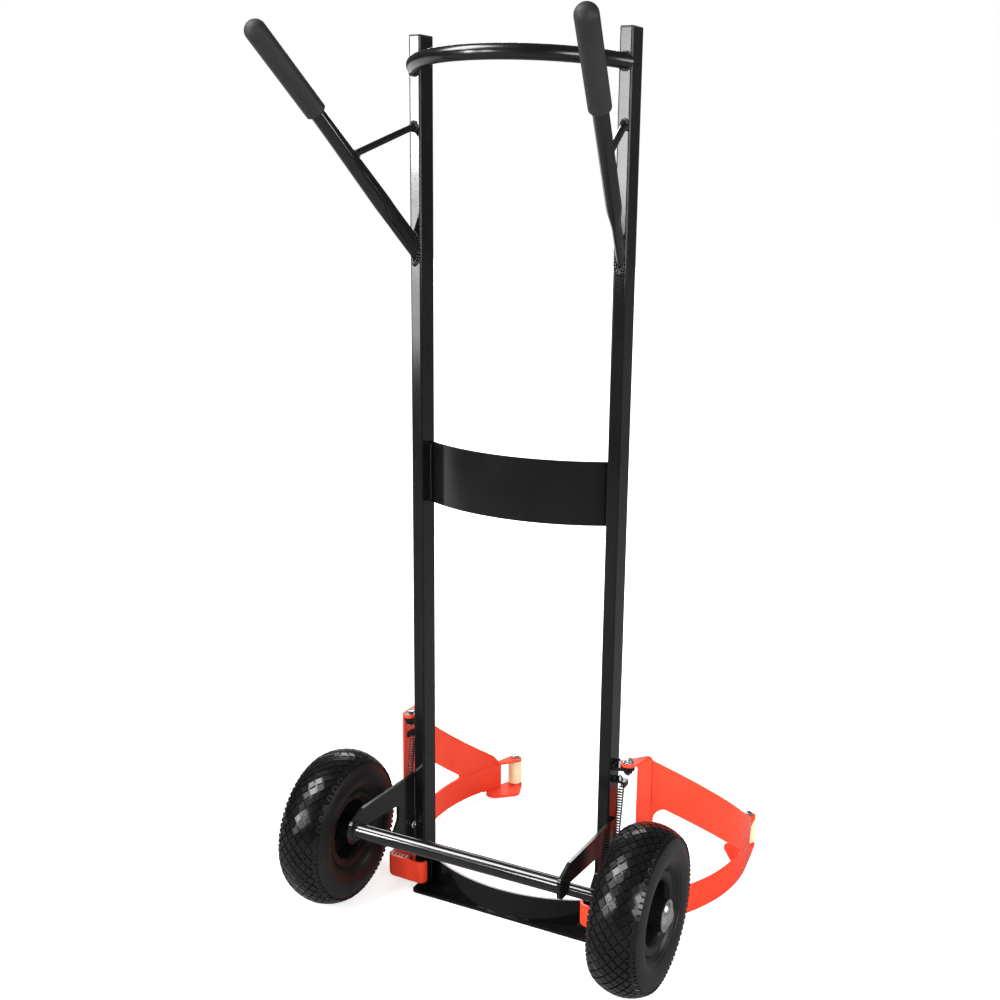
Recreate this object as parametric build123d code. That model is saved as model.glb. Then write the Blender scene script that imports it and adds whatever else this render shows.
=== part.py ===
from build123d import *
import math
import os

os.makedirs("parts", exist_ok=True)

# Sizes in millimetres: X to the operator's right, Y ahead of the uprights, Z up from the floor

# Fits
running_gap = 0.06
fit_gap = 0.05
free_gap = 0.4
near_zero = 1e-9

# Uprights and their caps
upright_spacing = 340
upright_width = 20
upright_depth = 40
upright_top = 1404
upright_corner = 3
tube_wall = 2
cap_thickness = 3
cap_plug_depth = 18

# Top bow, handles and braces
bow_diameter = 22
bow_drop = 44
bow_bulge = 110
bow_rise = 9
handle_diameter = 22
handle_foot_out = 1.5
handle_foot_drop = 304
handle_tip_out = 71.5
handle_tip_back = 302
handle_tip_drop = 5
handle_mitre = 40
grip_diameter = 31
grip_length = 160
grip_end_radius = 15
grip_end_thickness = 8
grip_chamfer = 2.5
brace_diameter = 10
brace_drop = 129
brace_share = 0.432
brace_mitre = 25

# Curved cross plates
back_plate_thickness = 3
back_plate_bottom = 686
back_plate_top = 786
back_plate_end = 8
back_plate_centre = -35
low_wall_thickness = 4
low_wall_top = 50
low_wall_end = 5
low_wall_centre = -45

# Base plate
base_thickness = 5
base_inset = 10
base_rear = -49
base_front = 38
base_ledge = 12
base_corner = 8
base_ear_radius = 14
base_ear_root = 20

# Side plates, foot tube and axle, placed in the plates' own plane
side_plate_thickness = 5
fork_front = 3
fork_bottom = 75
fork_top = 207
fork_rise = 7
fork_corner = 4
nose_half = 17
nose_corner = 12
slot_front = -71
slot_rear = -176
slot_top = 171
slot_slope = 10
slot_bottom = 144
slot_corner = 8
cradle_reach = 26
cradle_drop = 6
cradle_lip = 5
cradle_corner = 3
foot_diameter = 25
foot_y = -196
foot_z = 184
axle_diameter = 20
axle_thread_diameter = 16
axle_y = -114
collar_ring_diameter = 32
collar_ring_length = 8
axle_nut_diameter = 26
axle_nut_length = 5

# Wheels
wheel_out = 94
wheel_radius = 130
tyre_width = 85
tyre_wall = 5
tread_thickness = 8
shoulder_half_width = 33
shoulder_drop = 9
bead_half_width = 27
bead_width = 5
rim_radius = 51
rim_wall = 3
rim_flare = 12
rim_edge = 1
flange_radius = 64
hub_radius = 25
hub_inner_end = 34
hub_outer_end = 42
hub_shoulder_radius = 16
bearing_radius = 20
bearing_width = 12
bearing_recess = 1
cap_radius = 22
cap_height = 10
cap_wall = 1.5
cap_brim = 2.5

# Arm hinges
pivot_out = 21
pivot_y = 4
pin_diameter = 8
pin_top = 38
pin_chamfer = 1
lug_bottom = 293
lug_thickness = 6
lug_radius = 11
lug_root_radius = 16
bolt_width = 13
bolt_head_height = 6
nut_height = 6
bolt_tail = 4

# Arms, drawn from the pivot: A outward, B ahead
left_angle = -2
right_angle = 13
arm_thickness = 4
arm_wall = 17
arm_top = 299
tab_height = 300
tab_radius = 12
tab_corner = 6
tab_bend = 6
hinge_rear = 4
hinge_front = 42
sweep_a = -240
sweep_b = 208
sweep_radius = 306
arm_end = 362
arm_bottom = 7
arm_corner = 4
shoulder_corner = 8
band_height = 57
band_fall = 0.726
band_depth = 75
window_rear = 45
window_radius = 13
window_apex_radius = 4
shoulder_b = 346

# Tail behind each hinge
tail_bottom = 15
tail_rear = -50
tail_inner = -56
tail_return = -37
tail_corner = 12
tail_foot_radius = 8
tail_tab_bottom = 24
tail_tab_thickness = 5
tail_tab_radius = 13
tail_tab_half_width = 12

# Tongue, roller and what holds it
tongue_bottom = 2
tongue_thickness = 5
tongue_end_radius = 14
nose_a = -6
nose_b = 357
nose_radius = 15
root_a = 21
root_b = 336
root_radius = 18
roller_a = 6
roller_b = 390
roller_diameter = 28
roller_bottom = 11
roller_length = 46.5
roller_edge = 1.5
roller_bolt_diameter = 8
roller_lug_thickness = 4
roller_lug_radius = 13
neck_a = 24
neck_back = 6
neck_radius = 6
washer_diameter = 18
washer_thickness = 3.5
roller_nut_width = 13
roller_nut_height = 6.5

# Springs and what they hook on or press on
anchor_bottom = 271
anchor_thickness = 4
anchor_half_width = 8
anchor_reach = 21
anchor_lip_depth = 6
anchor_hole = 4.6
long_wire = 2
long_coil_radius = 4.5
long_curl_count = 34
long_pitch = 4.15
long_out = 13
long_top_y = 0
long_foot_y = -28
long_foot_z = 112
long_lead = 5
hook_radius = 3
foot_bend_radius = 4
foot_ring_radius = 5
foot_ring_depth = 18
hook_hole = 4.6
tail_wire = 1.6
tail_coil_radius = 5.2
tail_curl_count = 5
tail_pitch = 6
tail_spring_b = -39
tail_spring_z = 49
boss_diameter = 7
boss_length = 8
stop_thickness = 8
stop_depth = 11
stop_bottom = 41
stop_height = 16

half_spacing = upright_spacing / 2
inner_face = half_spacing - upright_width / 2
outer_face = half_spacing + upright_width / 2
rear_face = -upright_depth / 2
bow_height = upright_top - bow_drop
handle_root = Vector(half_spacing + handle_foot_out, rear_face, upright_top - handle_foot_drop)
handle_tip = Vector(half_spacing + handle_tip_out, rear_face - handle_tip_back, upright_top - handle_tip_drop)
brace_height = upright_top - brace_drop
wheel_x = outer_face + wheel_out
base_half_width = outer_face - base_inset
pivot_x = outer_face + pivot_out
long_x = outer_face + long_out
neck_b = arm_end - neck_back
tab_top = tab_height + arm_thickness
roller_lug_bottom = roller_bottom + roller_length + free_gap
sides = {"left": -1, "right": 1}
bottom_up = (Align.CENTER, Align.CENTER, Align.MIN)
nodes = {}


# Shared shapes


def rod(diameter, length):
    return Cylinder(diameter / 2, length, align=bottom_up)


def tube(diameter, length):
    return rod(diameter, length) - rod(diameter - 2 * tube_wall, length)


def ring(diameter, bore, length):
    return rod(diameter, length) - rod(bore, length)


def hexagon(width, length):
    return extrude(RegularPolygon(width / math.sqrt(3), 6), length)


def hull(*circles):
    edges = [edge for x, y, radius in circles for edge in (Pos(x, y) * Circle(radius)).edges()]
    return make_hull(edges)


def outline(*corners):
    # A closed face through corners given as place and rounding radius
    runs = []
    for place, (x, y, radius) in enumerate(corners):
        corner = Vector(x, y)
        before = (Vector(*corners[place - 1][:2]) - corner).normalized()
        after = (Vector(*corners[(place + 1) % len(corners)][:2]) - corner).normalized()
        half = math.radians(before.get_angle(after)) / 2
        reach = radius / math.tan(half)
        middle = corner + (before + after).normalized() * (radius / math.sin(half) - radius)
        runs.append((corner + before * reach, middle, corner + after * reach, radius))
    edges = []
    for place, (start, middle, end, radius) in enumerate(runs):
        if radius:
            edges.append(ThreePointArc(start, middle, end))
        edges.append(Line(end, runs[(place + 1) % len(runs)][0]))
    return make_face(edges)


def curved_plate(half_width, end, centre, thickness, bottom, top):
    # An upright plate rolled to an arc in plan, trimmed between the uprights
    depth = end - centre
    radius = (half_width ** 2 + depth ** 2) / (2 * depth)
    shell = ring(2 * radius + thickness, 2 * radius - thickness, top - bottom)
    window = Box(2 * half_width, 2 * depth, top - bottom, align=(Align.CENTER, Align.CENTER, Align.MIN))
    return (Pos(0, centre + radius, bottom) * shell) & (Pos(0, end - depth / 2, bottom) * window)


def mirrored(point, side):
    return Vector(point.X * side, point.Y, point.Z)


# Frame

ahead_of_rear_face = Pos(0, rear_face, 0) * Box(
    4 * upright_spacing, 2 * upright_spacing, 2 * upright_top, align=(Align.CENTER, Align.MIN, Align.MIN))


def upright(side):
    outer = RectangleRounded(upright_width, upright_depth, upright_corner)
    inner = RectangleRounded(upright_width - 2 * tube_wall, upright_depth - 2 * tube_wall,
                             upright_corner - tube_wall)
    return Pos(side * half_spacing, 0, base_thickness) * extrude(outer - inner, upright_top - base_thickness)


def upright_cap(side):
    lid = extrude(RectangleRounded(upright_width, upright_depth, upright_corner), cap_thickness)
    lid = fillet(lid.edges().group_by(Axis.Z)[-1], cap_thickness / 2)
    bore = 2 * (tube_wall + fit_gap)
    plug = extrude(Rectangle(upright_width - bore, upright_depth - bore), -cap_plug_depth)
    plug = fillet(plug.edges().filter_by(Axis.Z), upright_corner - tube_wall)
    return Pos(side * half_spacing, 0, upright_top) * (lid + plug)


def top_bow():
    lean = math.hypot(bow_bulge, bow_rise)
    radius = (half_spacing ** 2 + lean ** 2) / (2 * lean)
    reach = lean - radius
    # The arc runs on past the uprights and is then trimmed at their rear faces
    spread = math.degrees(math.acos((-reach - tube_wall * bow_diameter / 2) / radius))
    flat = Plane(origin=(0, rear_face, bow_height), x_dir=(1, 0, 0), z_dir=(0, bow_rise, bow_bulge))
    path = flat * Pos(0, -reach) * CenterArc((0, 0), radius, 270 - spread, 2 * spread)
    section = Circle(bow_diameter / 2) - Circle(bow_diameter / 2 - tube_wall)
    return sweep(Plane(origin=path @ 0, z_dir=path % 0) * section, path=path) - ahead_of_rear_face


def handle_plane(side):
    root = mirrored(handle_root, side)
    return Plane(origin=root, z_dir=mirrored(handle_tip, side) - root)


handle_length = (handle_tip - handle_root).length
grip_start = handle_length - grip_length


def handle(side):
    length = handle_length - grip_end_thickness + handle_mitre
    return handle_plane(side) * Pos(0, 0, -handle_mitre) * tube(handle_diameter, length) - ahead_of_rear_face


def grip(side):
    body = rod(grip_diameter, grip_length)
    body = fillet(body.edges().group_by(Axis.Z)[-1], grip_end_radius)
    body = chamfer(body.edges().group_by(Axis.Z)[0], grip_chamfer)
    bore = rod(handle_diameter + 2 * fit_gap, grip_length - grip_end_thickness)
    return handle_plane(side) * Pos(0, 0, grip_start) * (body - bore)


def brace(side):
    top = Vector(side * handle_root.X, rear_face, brace_height)
    foot = handle_plane(side).from_local_coords(Vector(0, 0, brace_share * handle_length))
    run = foot - top
    start = top - run.normalized() * brace_mitre
    bar = Plane(origin=start, z_dir=run) * rod(brace_diameter, run.length + brace_mitre)
    return bar - handle_plane(side) * rod(handle_diameter, handle_length) - ahead_of_rear_face


def base_plate():
    face = outline((-base_half_width, base_rear, base_corner), (base_half_width, base_rear, base_corner),
                   (base_half_width, base_front, 0), (-base_half_width, base_front, 0))
    dip = base_front - base_ledge
    radius = (base_half_width ** 2 + dip ** 2) / (2 * dip)
    face -= Pos(0, base_ledge + radius) * Circle(radius)
    for side in sides.values():
        face += hull((side * pivot_x, pivot_y, base_ear_radius),
                     (side * half_spacing, pivot_y, base_ear_root))
    return extrude(face, base_thickness)


def side_plate(side):
    # A fork open to the rear: its upper arm holds the foot tube and its lower arm cradles the axle
    nose_front, nose_rear = foot_y + nose_half, foot_y - nose_half
    nose_top, nose_bottom = foot_z + nose_half, foot_z - nose_half
    cradle_top = wheel_radius - cradle_drop
    cradle_bottom = wheel_radius - axle_diameter / 2 - cradle_lip
    face = outline((fork_front, fork_bottom, fork_corner), (fork_front, fork_top, fork_corner),
                   (nose_front, fork_top + fork_rise, nose_corner), (nose_rear, nose_top, slot_corner),
                   (nose_rear, nose_bottom, nose_corner), (nose_front, nose_bottom, slot_corner),
                   (slot_rear, slot_top + slot_slope, fork_corner), (slot_front, slot_top, slot_corner),
                   (slot_front, slot_bottom, slot_corner), (axle_y + cradle_reach, cradle_top, cradle_corner),
                   (axle_y, cradle_top, 0), (axle_y, cradle_bottom, cradle_corner))
    face -= Pos(axle_y, wheel_radius) * Circle(axle_diameter / 2 + fit_gap)
    face -= Pos(long_foot_y, long_foot_z) * Circle(hook_hole / 2)
    return Pos(side * outer_face) * extrude(Plane.YZ * face, side * side_plate_thickness)


def cross_rod(shape, half_length, y, z):
    return Pos(-half_length, y, z) * Rot(0, 90, 0) * shape(2 * half_length)


axle_shoulder = wheel_x + hub_outer_end - bearing_recess + free_gap
axle_end = axle_shoulder + axle_nut_length


def axle():
    thick = cross_rod(lambda length: rod(axle_diameter, length), axle_shoulder, axle_y, wheel_radius)
    thin = cross_rod(lambda length: rod(axle_thread_diameter, length), axle_end, axle_y, wheel_radius)
    return thick + thin


def axle_fittings():
    # Inner collars and outer nuts, one of each beside either wheel
    collar_bore = axle_diameter + 2 * fit_gap
    nut_bore = axle_thread_diameter + 2 * fit_gap
    collar = Rot(0, 90, 0) * ring(collar_ring_diameter, collar_bore, collar_ring_length)
    nut = Rot(0, 90, 0) * ring(axle_nut_diameter, nut_bore, axle_nut_length)
    collar_x = wheel_x - hub_inner_end - free_gap - collar_ring_length
    right = [Pos(collar_x, axle_y, wheel_radius) * collar, Pos(axle_shoulder, axle_y, wheel_radius) * nut]
    return right + [mirror(piece, about=Plane.YZ) for piece in right]


# Wheels, drawn about the X axis with the outer side at positive X


def spin(face):
    return revolve(face, axis=Axis.X)


def tyre():
    crown = wheel_radius
    shoulder = (shoulder_half_width, crown - shoulder_drop)
    belly = (tyre_width / 2, (crown + rim_radius) / 2)
    bead = (bead_half_width, rim_radius + fit_gap)
    ankle = (bead_half_width, flange_radius + fit_gap)

    def flipped(point):
        return (-point[0], point[1])

    def inside(point, in_x, in_r):
        return (point[0] - in_x, point[1] - in_r)

    lining = inside(shoulder, tyre_wall, tread_thickness / 2)
    hollow = inside(belly, tyre_wall, 0)
    heel = inside(bead, bead_width, 0)
    inner_ankle = inside(ankle, bead_width, 0)
    edges = [
        Line(bead, ankle),
        ThreePointArc(ankle, belly, shoulder),
        ThreePointArc(shoulder, (0, crown), flipped(shoulder)),
        ThreePointArc(flipped(shoulder), flipped(belly), flipped(ankle)),
        Line(flipped(ankle), flipped(bead)),
        Line(flipped(bead), flipped(heel)),
        Line(flipped(heel), flipped(inner_ankle)),
        ThreePointArc(flipped(inner_ankle), flipped(hollow), flipped(lining)),
        ThreePointArc(flipped(lining), (0, crown - tread_thickness), lining),
        ThreePointArc(lining, hollow, inner_ankle),
        Line(inner_ankle, heel),
        Line(heel, bead),
    ]
    return spin(make_face(edges))


def rim():
    # Barrel that flares into a flange at each side, one thin disc and a long hub with two bearing seats
    seat = bead_half_width + fit_gap
    lip = seat + rim_wall
    inside = rim_radius - rim_wall
    barrel = outline((-lip, inside, rim_flare), (lip, inside, rim_flare), (lip, flange_radius, rim_edge),
                     (seat, flange_radius, rim_edge), (seat, rim_radius, 0), (-seat, rim_radius, 0),
                     (-seat, flange_radius, rim_edge), (-lip, flange_radius, rim_edge))
    disc = Pos(0, rim_radius / 2) * Rectangle(rim_wall, rim_radius - rim_wall)
    hub_length = hub_inner_end + hub_outer_end
    hub_middle = (hub_outer_end - hub_inner_end) / 2
    hub = Pos(hub_middle, hub_radius / 2) * Rectangle(hub_length, hub_radius)
    face = barrel + disc + hub
    bore = Pos(hub_middle, hub_shoulder_radius / 2) * Rectangle(hub_length, hub_shoulder_radius)
    pocket_depth = bearing_width + bearing_recess
    pocket = Rectangle(pocket_depth, bearing_radius + fit_gap, align=(Align.MAX, Align.MIN))
    face -= bore + Pos(hub_outer_end) * pocket + Pos(pocket_depth - hub_inner_end) * pocket
    return spin(face)


def bearings():
    race = Rot(0, 90, 0) * ring(2 * bearing_radius, axle_diameter + 2 * running_gap, bearing_width)
    outer_x = hub_outer_end - bearing_recess - bearing_width
    return [Pos(outer_x) * race, Pos(bearing_recess - hub_inner_end) * race]


def dust_cap():
    radius = (cap_radius ** 2 + cap_height ** 2) / (2 * cap_height)
    centre = cap_height - radius
    face = Pos(centre) * (Circle(radius) - Circle(radius - cap_wall))
    face &= Rectangle(cap_height, cap_radius, align=(Align.MIN, Align.MIN))
    brim = Rectangle(cap_wall, cap_wall + cap_brim, align=(Align.MIN, Align.MIN))
    face += Pos(0, cap_radius - cap_wall) * brim
    return Pos(hub_outer_end) * spin(face)


def place_wheel(shape, side):
    turned = shape if side > 0 else Rot(0, 0, 180) * shape
    return Pos(side * wheel_x, axle_y, wheel_radius) * turned


# Fixed half of each hinge


def hinge_lug(side):
    face = hull((pivot_x, pivot_y, lug_radius), (outer_face, pivot_y, lug_root_radius))
    face -= Pos(pivot_x, pivot_y) * Circle(pin_diameter / 2 + fit_gap)
    face -= Rectangle(2 * outer_face, upright_spacing)
    lug = Pos(0, 0, lug_bottom) * extrude(face, lug_thickness)
    return lug if side > 0 else mirror(lug, about=Plane.YZ)


def hinge_bolt(side):
    head = Pos(0, 0, tab_top + free_gap) * hexagon(bolt_width, bolt_head_height)
    tail = lug_bottom - nut_height - bolt_tail
    shank = Pos(0, 0, tail) * rod(pin_diameter, tab_top + free_gap - tail)
    return Pos(side * pivot_x, pivot_y, 0) * (head + shank)


def hinge_nut(side):
    nut = hexagon(bolt_width, nut_height) - rod(pin_diameter + 2 * fit_gap, nut_height)
    return Pos(side * pivot_x, pivot_y, lug_bottom - nut_height) * nut


def hinge_pin(side):
    pin = rod(pin_diameter, pin_top - base_thickness)
    pin = chamfer(pin.edges().group_by(Axis.Z)[-1], pin_chamfer)
    return Pos(side * pivot_x, pivot_y, base_thickness) * pin


def spring_anchor(side):
    # A small shelf with a lip turned down at its outer end
    width = 2 * anchor_half_width
    shelf = Box(anchor_reach, width, anchor_thickness, align=(Align.MIN, Align.CENTER, Align.MIN))
    lip = Box(anchor_thickness, width, anchor_lip_depth, align=(Align.MAX, Align.CENTER, Align.MAX))
    shelf += Pos(anchor_reach, 0, 0) * lip
    shelf -= Pos(long_out) * rod(anchor_hole, anchor_thickness)
    shelf = Pos(outer_face, long_top_y, anchor_bottom) * shelf
    return shelf if side > 0 else mirror(shelf, about=Plane.YZ)


def spring_stop(side):
    block = Box(stop_thickness, stop_depth, stop_height, align=(Align.MIN, Align.MAX, Align.MIN))
    block = Pos(inner_face, rear_face, stop_bottom) * block
    return block if side > 0 else mirror(block, about=Plane.YZ)


# Swinging arms


def arm_shell():
    shell = ring(2 * sweep_radius + arm_thickness, 2 * sweep_radius - arm_thickness, tab_top)
    return Pos(sweep_a, sweep_b, 0) * shell


def band_top(b):
    return arm_top - band_fall * (b - hinge_front)


def arm_plate():
    # One plate with a three-cornered window, rolled to a wide arc in plan
    face = outline((hinge_front, arm_bottom, 0), (arm_end, arm_bottom, arm_corner),
                   (arm_end, band_height, arm_corner), (shoulder_b, band_top(shoulder_b), shoulder_corner),
                   (hinge_front, arm_top, 0))
    apex = hinge_front + (arm_top - band_depth - band_height) / band_fall
    face -= outline((window_rear, band_height, window_radius), (apex, band_height, window_apex_radius),
                    (window_rear, band_top(window_rear) - band_depth, window_radius))
    return extrude(Plane.YZ * face, sweep_radius) & arm_shell()


def hinge_plate():
    # A strip whose top is folded over into a tab for the bolt
    depth = hinge_front - hinge_rear
    outer = arm_wall + arm_thickness / 2
    inner = arm_wall - arm_thickness / 2
    flat = outer - tab_bend
    section = outline((outer, band_height, 0), (outer, tab_top, tab_bend), (flat - arm_thickness, tab_top, 0),
                      (flat - arm_thickness, tab_height, 0), (inner, tab_height, tab_bend - arm_thickness),
                      (inner, band_height, 0))
    strip = Pos(0, hinge_rear) * extrude(Plane.XZ * section, -depth)
    root = Pos(flat - arm_thickness / 2, hinge_rear + depth / 2) * Rectangle(arm_thickness, depth)
    tab = make_hull(Circle(tab_radius).edges() + root.edges())
    plate = strip + Pos(0, 0, tab_height) * extrude(tab, arm_thickness)
    return plate - Pos(0, 0, tab_height) * rod(pin_diameter + 2 * running_gap, arm_thickness)


def tail():
    outer = arm_wall + arm_thickness / 2
    inner = arm_wall - arm_thickness / 2
    height = band_height - tail_bottom
    # A tray open ahead and above, with rounded corners and foot
    tray = extrude(outline((outer, tail_return, 0), (tail_inner, tail_return, 0),
                           (tail_inner, tail_rear, tail_corner), (outer, tail_rear, tail_corner)), height)
    tray = fillet(tray.edges().group_by(Axis.Z)[0].sort_by(Axis.Y)[:-1], tail_foot_radius)
    hollow = outline((inner, 0, 0), (tail_inner + arm_thickness, 0, 0),
                     (tail_inner + arm_thickness, tail_rear + arm_thickness, tail_corner - arm_thickness),
                     (inner, tail_rear + arm_thickness, tail_corner - arm_thickness))
    tray -= Pos(0, 0, arm_thickness) * extrude(hollow, height)
    wall = Pos(arm_wall, tail_return) * Box(arm_thickness, hinge_front - tail_return, height,
                                            align=(Align.CENTER, Align.MIN, Align.MIN))
    strip = Pos(0, 0, tail_bottom) * (tray + wall)
    edge = inner - tab_corner
    tab = hull((0, 0, tail_tab_radius), (edge, tail_tab_half_width, tab_corner),
               (edge, -tail_tab_half_width, tab_corner))
    tab -= Circle(pin_diameter / 2 + running_gap)
    boss = Pos(inner, tail_spring_b, tail_spring_z) * Rot(0, -90, 0) * rod(boss_diameter, boss_length)
    return strip + Pos(0, 0, tail_tab_bottom) * extrude(tab, tail_tab_thickness) + boss


def tongue():
    face = hull((roller_a, roller_b, tongue_end_radius), (nose_a, nose_b, nose_radius),
                (root_a, root_b, root_radius))
    face -= Pos(roller_a, roller_b) * Circle(roller_bolt_diameter / 2 + fit_gap)
    return Pos(0, 0, tongue_bottom) * extrude(face, tongue_thickness)


def roller_lug():
    # A flat ear that butts on the inside of the arm and holds the top of the roller's bolt
    face = hull((roller_a, roller_b, roller_lug_radius), (neck_a, neck_b, neck_radius))
    face -= Pos(roller_a, roller_b) * Circle(roller_bolt_diameter / 2 + fit_gap)
    return Pos(0, 0, roller_lug_bottom) * extrude(face, roller_lug_thickness) - arm_plate()


def at_roller(shape, z):
    return Pos(roller_a, roller_b, z) * shape


def roller():
    body = ring(roller_diameter, roller_bolt_diameter + 2 * running_gap, roller_length)
    rims = body.edges().filter_by(GeomType.CIRCLE).group_by(SortBy.RADIUS)[-1]
    return at_roller(fillet(rims, roller_edge), roller_bottom)


def roller_bolt():
    nut_bottom = roller_lug_bottom + roller_lug_thickness
    nut = hexagon(roller_nut_width, roller_nut_height)
    shank = rod(roller_bolt_diameter, nut_bottom - tongue_bottom)
    return at_roller(shank, tongue_bottom) + at_roller(nut, nut_bottom)


def roller_washer():
    washer = ring(washer_diameter, roller_bolt_diameter + 2 * fit_gap, washer_thickness)
    return at_roller(washer, tongue_bottom + tongue_thickness)


# Wire springs: each half turn is a pair of arcs that meet smoothly


def biarc(start, start_way, end, end_way):
    run = end - start
    both = start_way + end_way
    bend = 2 * (start_way.dot(end_way) - 1)
    along = run.dot(both)
    if abs(bend) < near_zero:
        reach = run.dot(run) / (2 * along)
    else:
        reach = (along - math.sqrt(along ** 2 - bend * run.dot(run))) / bend
    first = start + start_way * reach
    last = end - end_way * reach
    middle = (first + last) / 2
    return [TangentArc(start, middle, tangent=start_way), TangentArc(middle, end, tangent=last - first)]


def curl_point(radius, pitch, half_turn):
    sign = 1 - 2 * (half_turn % 2)
    rise = pitch / (2 * math.pi * radius)
    return Vector(sign * radius, 0, pitch * half_turn / 2), Vector(0, sign, rise).normalized()


def curls(radius, pitch, count):
    edges = []
    for half_turn in range(2 * count):
        here = curl_point(radius, pitch, half_turn)
        there = curl_point(radius, pitch, half_turn + 1)
        edges += biarc(*here, *there)
    return edges


def wire_spring(name, edges, diameter):
    path = Wire(edges)
    count = int(path.length / diameter)
    points = [path.position_at(step / count) for step in range(count + 1)]
    spacing = path.length / count
    skip = math.ceil(math.pi * diameter / spacing)
    total = len(points)
    gap = min((points[i] - points[j]).length for i in range(total) for j in range(i + skip, total))
    print(name, "least gap of the wire to itself, mm:", round(gap - diameter, 2))
    return sweep(Plane(origin=path @ 0, z_dir=path % 0) * Circle(diameter / 2), path=path)


def long_spring(side):
    # From the ring behind the side plate, up the coil, to the hook over the anchor
    up = Vector(0, 0, 1)
    out = Vector(1, 0, 0)
    back = Vector(0, -side, 0)
    body = long_pitch * long_curl_count
    rise = Vector(0, long_top_y - long_foot_y, anchor_bottom + anchor_thickness - long_foot_z)
    span = rise.length - long_lead - foot_bend_radius
    leg = Vector(0, 0, -long_lead)
    bend = leg - up * foot_bend_radius - out * foot_bend_radius
    turn = bend - out * (foot_ring_depth - 2 * foot_bend_radius)
    low = turn - out * foot_bend_radius + back * foot_bend_radius
    high = low + up * (2 * foot_ring_radius)
    round_back = (low + high) / 2 + back * foot_ring_radius
    edges = [Line(high - back * long_wire, high), ThreePointArc(high, round_back, low),
             TangentArc(low, turn, tangent=-back), Line(turn, bend), TangentArc(bend, leg, tangent=out)]
    bottom = curl_point(long_coil_radius, long_pitch, 0)
    top = curl_point(long_coil_radius, long_pitch, 2 * long_curl_count)
    crest = up * (body + long_lead)
    peak = up * (span + long_wire + free_gap)
    edges += biarc(leg, up, *bottom)
    edges += curls(long_coil_radius, long_pitch, long_curl_count)
    edges += biarc(*top, crest, up)
    edges += [Line(crest, peak), TangentArc(peak, peak - out * (2 * hook_radius), tangent=up)]
    edges += [Line(peak - out * (2 * hook_radius), peak - out * (2 * hook_radius) - up * long_wire)]
    coil = wire_spring("long spring", edges, long_wire)
    frame = Plane(origin=(side * long_x, long_foot_y, long_foot_z), x_dir=(side, 0, 0), z_dir=rise)
    return frame * Pos(0, 0, long_lead + foot_bend_radius) * coil


def tail_spring():
    first, first_way = curl_point(tail_coil_radius, tail_pitch, 0)
    last, last_way = curl_point(tail_coil_radius, tail_pitch, 2 * tail_curl_count)
    edges = [Line(first - first_way * tail_wire, first)]
    edges += curls(tail_coil_radius, tail_pitch, tail_curl_count)
    edges += [Line(last, last + last_way * tail_wire)]
    coil = wire_spring("tail spring", edges, tail_wire)
    seat = arm_wall - arm_thickness / 2 - tail_wire
    return Pos(seat, tail_spring_b, tail_spring_z) * Rot(0, -90, 0) * coil


# Nodes

for name, side in sides.items():
    nodes[name + "_upright"] = upright(side)
    nodes[name + "_upright_cap"] = upright_cap(side)
    nodes[name + "_handle"] = handle(side)
    nodes[name + "_grip"] = grip(side)
    nodes[name + "_brace"] = brace(side)
    nodes[name + "_side_plate"] = side_plate(side)
    nodes[name + "_hinge_lug"] = hinge_lug(side)
    nodes[name + "_hinge_bolt"] = hinge_bolt(side)
    nodes[name + "_hinge_nut"] = hinge_nut(side)
    nodes[name + "_hinge_pin"] = hinge_pin(side)
    nodes[name + "_spring_anchor"] = spring_anchor(side)
    nodes[name + "_spring_stop"] = spring_stop(side)
    nodes[name + "_long_spring"] = long_spring(side)

nodes["top_bow"] = top_bow()
nodes["back_plate"] = curved_plate(inner_face, back_plate_end, back_plate_centre, back_plate_thickness,
                                   back_plate_bottom, back_plate_top)
nodes["low_wall"] = curved_plate(inner_face, low_wall_end, low_wall_centre, low_wall_thickness,
                                 base_thickness, low_wall_top)
nodes["base_plate"] = base_plate()
nodes["foot_tube"] = cross_rod(lambda length: tube(foot_diameter, length), outer_face, foot_y, foot_z)
nodes["axle"] = axle()
nodes["axle_fittings"] = Compound(axle_fittings())

wheel_parts = {"tyre": tyre(), "rim": rim(), "bearings": Compound(bearings()), "dust_cap": dust_cap()}
arm_parts = {
    "arm_plate": arm_plate(), "hinge_plate": hinge_plate(), "tail": tail(), "tongue": tongue(),
    "roller_lug": roller_lug(), "roller": roller(), "roller_bolt": roller_bolt(),
    "roller_washer": roller_washer(),
}
rest_angles = {"left": left_angle, "right": right_angle}
spring_shape = tail_spring()


def place_arm(shape, side, angle):
    return Pos(side * pivot_x, pivot_y, 0) * Rot(0, 0, -side * angle) * shape


for name, side in sides.items():
    for part, shape in wheel_parts.items():
        nodes[name + "_" + part] = place_wheel(shape, side)
    for part, shape in arm_parts.items():
        handed = shape if side > 0 else mirror(shape, about=Plane.YZ)
        nodes[name + "_" + part] = place_arm(handed, side, rest_angles[name])
    handed = spring_shape if side > 0 else mirror(spring_shape, about=Plane.YZ)
    nodes[name + "_tail_spring"] = place_arm(handed, side, rest_angles[name])

for name, shape in nodes.items():
    export_step(shape, "parts/" + name + ".step")
print(len(nodes), "nodes")
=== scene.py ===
import bpy
import bmesh
import math
from mathutils import Matrix, Vector


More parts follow.
